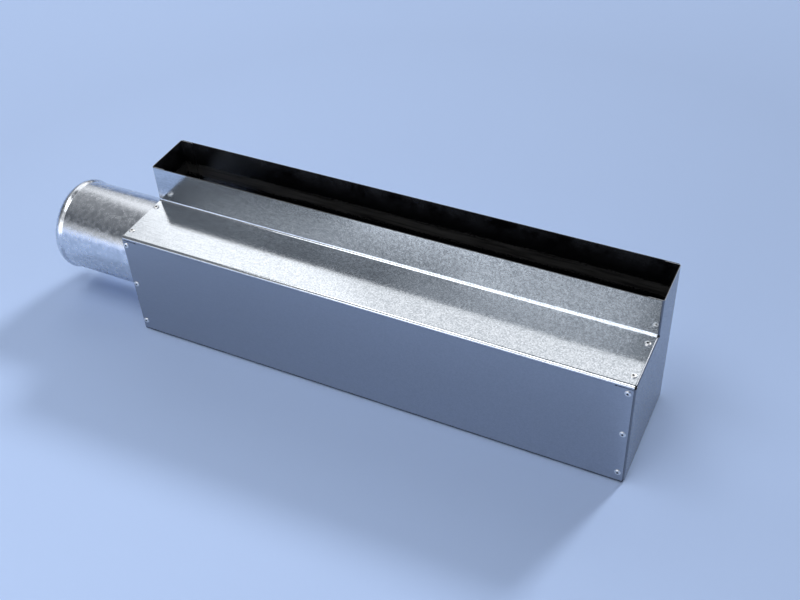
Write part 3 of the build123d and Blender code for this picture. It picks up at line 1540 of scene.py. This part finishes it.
@dataclass
class Studio:
    """A plain pale floor, soft lamps, a dim room and the camera."""

    aim: Vector = field(default_factory=lambda: Vector((0.0, 0.0, 0.09)))
    floor_size: float = 60.0
    wall_height: float = 6.0
    wall_steps: int = 96
    floor_colour: Colour = (0.45, 0.58, 0.85, 1.0)
    floor_rough: float = 0.9
    floor_sheen: float = 0.2
    near_colour: Colour = (0.0, 0.0, 0.0, 1.0)
    far_colour: Colour = (0.20, 0.26, 0.38, 1.0)
    far_floor: Span = (0.7, 2.2)
    room_colour: Colour = (0.80, 0.88, 1.0, 1.0)
    room_glow: float = 0.14
    eye: Vector = field(default_factory=lambda: Vector((0.4054, -0.7259, 0.8218)))
    eye_azimuth: float = 28.22
    eye_elevation: float = 41.60
    eye_roll: float = 3.62
    lens: float = 49.25
    # Each lamp's name, azimuth, elevation, distance, width, height and glow
    lamps: tuple[Softbox, ...] = (
        Softbox("back_softbox", 203.0, 46.0, 1.7, 1.85, 1.05, 1.0),
        Softbox("spigot_panel", 230.0, 20.0, 1.67, 0.45, 0.40, 0.7),
        Softbox("back_panel", 228.5, 46.0, 1.5, 0.40, 0.75, 0.36),
        Softbox("top_strip", -35.0, 72.0, 1.3, 1.1, 0.4, 4.2),
        Softbox("front_fill_right", -7.0, 42.0, 1.3, 0.40, 0.27, 0.72),
        Softbox("front_fill_middle", -26.0, 38.0, 1.3, 0.40, 0.25, 0.42),
        Softbox("front_fill_left", -41.0, 33.5, 1.3, 0.28, 0.25, 0.34),
        Softbox("upper_fill", -13.0, 52.0, 1.3, 0.52, 0.3, 0.44),
        Softbox("side_fill", -58.0, 48.0, 1.3, 0.9, 0.7, 0.1),
        Softbox("front_card", -38.0, 12.0, 1.5, 1.4, 0.5, 0.5),
        Softbox("front_window", -10.0, 19.0, 1.5, 0.95, 0.78, 1.9),
        Softbox("window_edge", -35.0, 14.0, 1.5, 0.36, 0.26, 1.0),
        Softbox("left_fill", 258.0, 32.0, 1.6, 0.8, 0.9, 0.22),
        Softbox("right_fill", 95.0, 35.0, 1.6, 1.2, 1.0, 0.3),
    )
    key: KeySun = KeySun()

    def build(self) -> None:
        """Sets up the floor, the lamps, the room and the camera."""
        self.build_floor()
        for lamp in self.lamps:
            lamp.build(self.aim)
        self.key.build()
        self.build_room()
        self.build_camera()
        bpy.context.scene.view_settings.view_transform = "Standard"

    def build_floor(self) -> None:
        """Lays a flat square floor under the box, with a low round wall of the same paint on it."""
        half = self.floor_size / 2
        side = np.array([-half, half])
        x, y = np.meshgrid(side, side)
        ground = np.stack([x, y, np.zeros_like(x)], axis=-1)
        turn, z = np.meshgrid(np.linspace(0, 2 * np.pi, self.wall_steps + 1), [0, self.wall_height])
        wall = np.stack([half * np.cos(turn), half * np.sin(turn), z], axis=-1)
        surface = Surface()
        for points in (ground, wall):
            surface.add_faces(grid_faces(surface.add_points(points, np.array(0.0))))
        floor = bpy.data.objects.new("floor", surface.mesh("floor"))
        floor.data.materials.append(self.floor_material())
        bpy.context.scene.collection.objects.link(floor)

    def floor_material(self) -> bpy.types.Material:
        """A pale matt paint, which far from the box shows its own pale light and no less.

        Returns:
            The material.
        """
        material = bpy.data.materials.new("pale_floor")
        material.use_nodes = True
        shader = material.node_tree.nodes["Principled BSDF"]
        shader.inputs["Base Color"].default_value = self.floor_colour
        shader.inputs["Roughness"].default_value = self.floor_rough
        shader.inputs["Specular IOR Level"].default_value = self.floor_sheen
        shader.inputs["Emission Strength"].default_value = 1.0
        bench = NodeBench(material.node_tree)
        place = bench.add("ShaderNodeTexCoord").outputs["Object"]
        reach = bench.add("ShaderNodeVectorMath", {0: place}, operation="LENGTH").outputs["Value"]
        path = bench.add("ShaderNodeLightPath").outputs
        seen = bench.math("MAXIMUM", path["Is Camera Ray"], path["Is Glossy Ray"])
        seen = bench.math("MAXIMUM", seen, path["Is Transmission Ray"])
        far = bench.math("MULTIPLY", bench.ranged(reach, *self.far_floor, 0.0, 1.0), seen)
        glow = bench.blend(far, self.near_colour, self.far_colour)
        bench.tree.links.new(glow, shader.inputs["Emission Color"])
        return material

    def build_room(self) -> None:
        """A dim even room round the floor."""
        world = bpy.data.worlds.new("room")
        world.use_nodes = True
        background = world.node_tree.nodes["Background"]
        background.inputs["Color"].default_value = self.room_colour
        background.inputs["Strength"].default_value = self.room_glow
        bpy.context.scene.world = world

    def build_camera(self) -> None:
        """The camera, by its place, its azimuth and elevation, and a small roll."""
        roll = np.radians(self.eye_roll)
        back = way_to(self.eye_azimuth, self.eye_elevation)
        right = Vector((0, 0, 1)).cross(back).normalized()
        up = back.cross(right)
        rolled_right = np.cos(roll) * right - np.sin(roll) * up
        rolled_up = np.sin(roll) * right + np.cos(roll) * up
        data = bpy.data.cameras.new("camera")
        data.lens = self.lens
        camera = bpy.data.objects.new("camera", data)
        axes = Matrix((rolled_right, rolled_up, back)).transposed().to_4x4()
        camera.matrix_world = Matrix.Translation(self.eye) @ axes
        bpy.context.scene.collection.objects.link(camera)
        bpy.context.scene.camera = camera


def main() -> None:
    """Builds the box's pieces in order, then the studio."""
    logging.basicConfig(level=logging.INFO)
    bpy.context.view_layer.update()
    sizes = BoxSizes()
    spigot = DuctSpigot(sizes)
    hole = spigot.radius + spigot.hole_fit
    pieces = [
        BodySheet(sizes).build(),
        EndCap(sizes, End.BLANK).build("blank_end_cap"),
        EndCap(sizes, End.SPIGOT, hole_radius=hole, hole_height=spigot.height).build("spigot_end_cap"),
        spigot.build(),
        RivetRow(sizes, End.BLANK, inset=6.8 * MM).build("blank_end_rivets"),
        RivetRow(sizes, End.SPIGOT, inset=5.6 * MM).build("spigot_end_rivets"),
    ]
    for piece in pieces:
        log.info("%s: %d faces", piece.name, len(piece.data.polygons))
    Studio().build()


if __name__ == "__main__":
    main()
